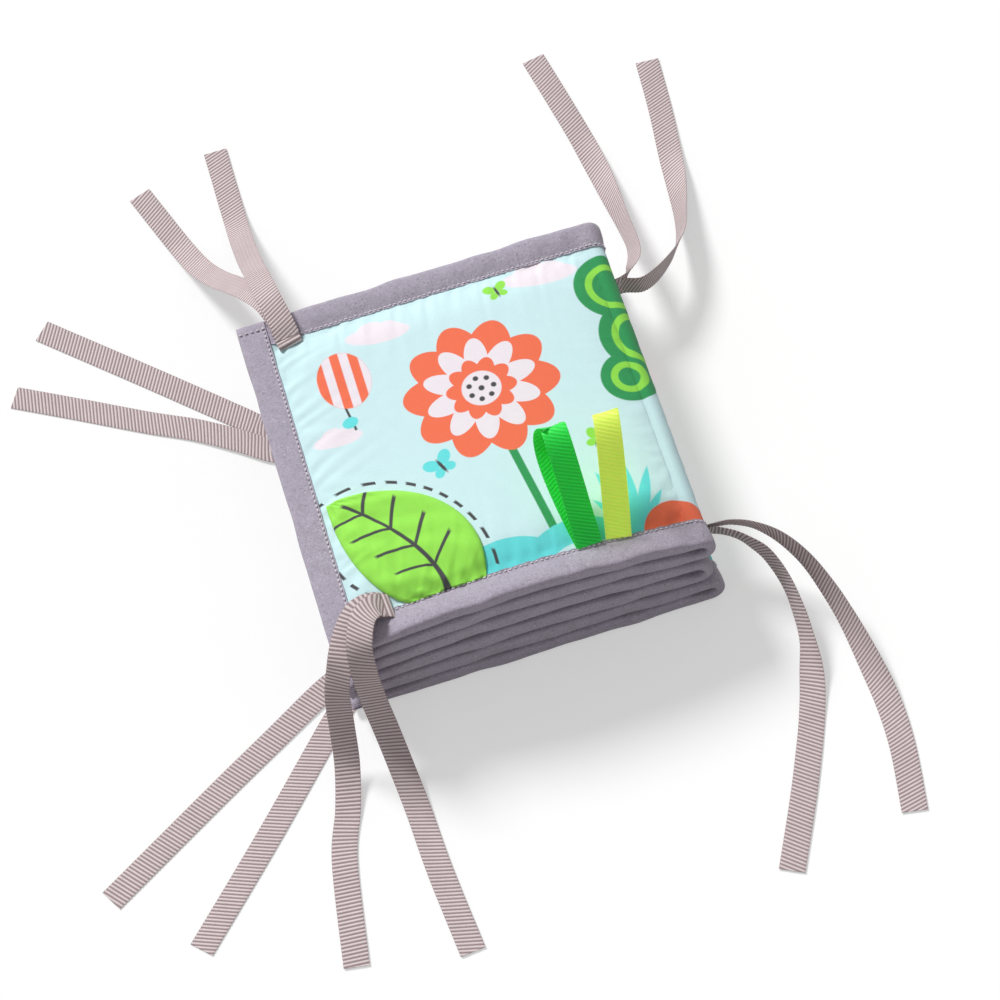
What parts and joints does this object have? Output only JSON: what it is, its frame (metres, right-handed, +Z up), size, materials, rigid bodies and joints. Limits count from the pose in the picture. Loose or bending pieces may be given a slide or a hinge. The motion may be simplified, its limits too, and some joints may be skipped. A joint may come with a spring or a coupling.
{
  "type": "cloth contrast book",
  "caption": "Soft padded cloth book whose pages fold like a concertina, with bound edges, ribbon ties at the corners, sewn loop tags and a leaf flap.",
  "frame": {"origin": "on the flat underside of the bottom page, on the floor, below the middle of the closed stack", "axes": "+X along the front edge towards the folded side with three folds, +Y from the front edge to the back, +Z up"},
  "size_m": [0.3141, 0.3824, 0.0824],
  "materials": {
    "print_cloth": "smooth printed cotton",
    "binding_cloth": "woven cotton binding tape",
    "wadding": "lofty fibre wadding",
    "ribbon_weave": "ribbed grosgrain ribbon",
    "green_tag_weave": "ribbed grosgrain ribbon",
    "lime_tag_weave": "ribbed grosgrain ribbon",
    "leaf_cloth": "smooth printed cotton",
    "crinkle_film": "thin crinkled film"
  },
  "bodies": {
    "page_6": {"page_6_upper_cloth": "print_cloth", "page_6_lower_cloth": "print_cloth", "page_6_wadding": "wadding", "page_6_front_binding": "binding_cloth", "page_6_back_binding": "binding_cloth", "page_6_end_binding": "binding_cloth", "fold_web_5_6": "print_cloth", "tie_base_front_inner": "ribbon_weave", "tie_base_front_outer": "ribbon_weave", "tie_base_back_inner": "ribbon_weave", "tie_base_back_outer": "ribbon_weave"},
    "page_5": {"page_5_upper_cloth": "print_cloth", "page_5_lower_cloth": "print_cloth", "page_5_wadding": "wadding", "page_5_front_binding": "binding_cloth", "page_5_back_binding": "binding_cloth", "fold_web_4_5": "print_cloth"},
    "page_4": {"page_4_upper_cloth": "print_cloth", "page_4_lower_cloth": "print_cloth", "page_4_wadding": "wadding", "page_4_front_binding": "binding_cloth", "page_4_back_binding": "binding_cloth", "fold_web_3_4": "print_cloth"},
    "page_3": {"page_3_upper_cloth": "print_cloth", "page_3_lower_cloth": "print_cloth", "page_3_wadding": "wadding", "page_3_front_binding": "binding_cloth", "page_3_back_binding": "binding_cloth", "fold_web_2_3": "print_cloth"},
    "page_2": {"page_2_upper_cloth": "print_cloth", "page_2_lower_cloth": "print_cloth", "page_2_wadding": "wadding", "page_2_front_binding": "binding_cloth", "page_2_back_binding": "binding_cloth", "fold_web_1_2": "print_cloth"},
    "page_1": {"page_1_upper_cloth": "print_cloth", "page_1_lower_cloth": "print_cloth", "page_1_wadding": "wadding", "page_1_front_binding": "binding_cloth", "page_1_back_binding": "binding_cloth", "page_1_end_binding": "binding_cloth", "tie_top_front_inner": "ribbon_weave", "tie_top_front_outer": "ribbon_weave", "tie_top_back_inner": "ribbon_weave", "tie_top_back_outer": "ribbon_weave"},
    "middle_ties": {"tie_middle_front_upper": "ribbon_weave", "tie_middle_front_lower": "ribbon_weave", "tie_middle_back_upper": "ribbon_weave", "tie_middle_back_lower": "ribbon_weave"},
    "leaf_flap": {"leaf_flap_face": "leaf_cloth", "leaf_crinkle_film": "crinkle_film", "leaf_flap_backing": "leaf_cloth"},
    "green_tag": {"loop_tag_green": "green_tag_weave"},
    "lime_tag": {"loop_tag_lime": "lime_tag_weave"}
  },
  "joints": [
    {"name": "fold_5_6", "type": "hinge", "parent": "page_6", "child": "page_5", "pos_m": [0.075, -0.0041, 0.0074], "axis": [0, 1, 0], "range_deg": [0, 180], "deforming": ["fold_web_5_6"]},
    {"name": "fold_4_5", "type": "hinge", "parent": "page_5", "child": "page_4", "pos_m": [-0.0725, -0.0033, 0.015], "axis": [0, -1, 0], "range_deg": [0, 180], "deforming": ["fold_web_4_5"]},
    {"name": "fold_3_4", "type": "hinge", "parent": "page_4", "child": "page_3", "pos_m": [0.0708, -0.0025, 0.0231], "axis": [0, 1, 0], "range_deg": [0, 180], "deforming": ["fold_web_3_4"]},
    {"name": "fold_2_3", "type": "hinge", "parent": "page_3", "child": "page_2", "pos_m": [-0.0723, -0.0017, 0.0312], "axis": [0, -1, 0], "range_deg": [0, 180], "deforming": ["fold_web_2_3"]},
    {"name": "fold_1_2", "type": "hinge", "parent": "page_2", "child": "page_1", "pos_m": [0.0733, -0.0009, 0.0388], "axis": [0, 1, 0], "range_deg": [0, 180], "deforming": ["fold_web_1_2"]},
    {"name": "middle_ties_swing", "type": "hinge", "parent": "page_4", "child": "middle_ties", "pos_m": [0.0708, -0.0025, 0.0231], "axis": [0, 1, 0], "range_deg": [0, 90]},
    {"name": "leaf_lift", "type": "hinge", "parent": "page_1", "child": "leaf_flap", "pos_m": [-0.026, -0.064, 0.05187], "axis": [0.9959, 0, 0.09], "range_deg": [0, 160]},
    {"name": "green_tag_swing", "type": "hinge", "parent": "page_1", "child": "green_tag", "pos_m": [0.0297, -0.064, 0.05146], "axis": [1, 0, 0], "range_deg": [-20, 95], "stiffness_Nm_per_rad": 0.004},
    {"name": "lime_tag_swing", "type": "hinge", "parent": "page_1", "child": "lime_tag", "pos_m": [0.0412, -0.064, 0.05009], "axis": [1, 0, 0], "range_deg": [-20, 95], "stiffness_Nm_per_rad": 0.004}
  ],
  "couplings": [
    {"joint": "fold_4_5", "follows": "fold_5_6", "ratio": 1},
    {"joint": "fold_3_4", "follows": "fold_5_6", "ratio": 1},
    {"joint": "fold_2_3", "follows": "fold_5_6", "ratio": 1},
    {"joint": "fold_1_2", "follows": "fold_5_6", "ratio": 1},
    {"joint": "middle_ties_swing", "follows": "fold_5_6", "ratio": 0.5}
  ]
}
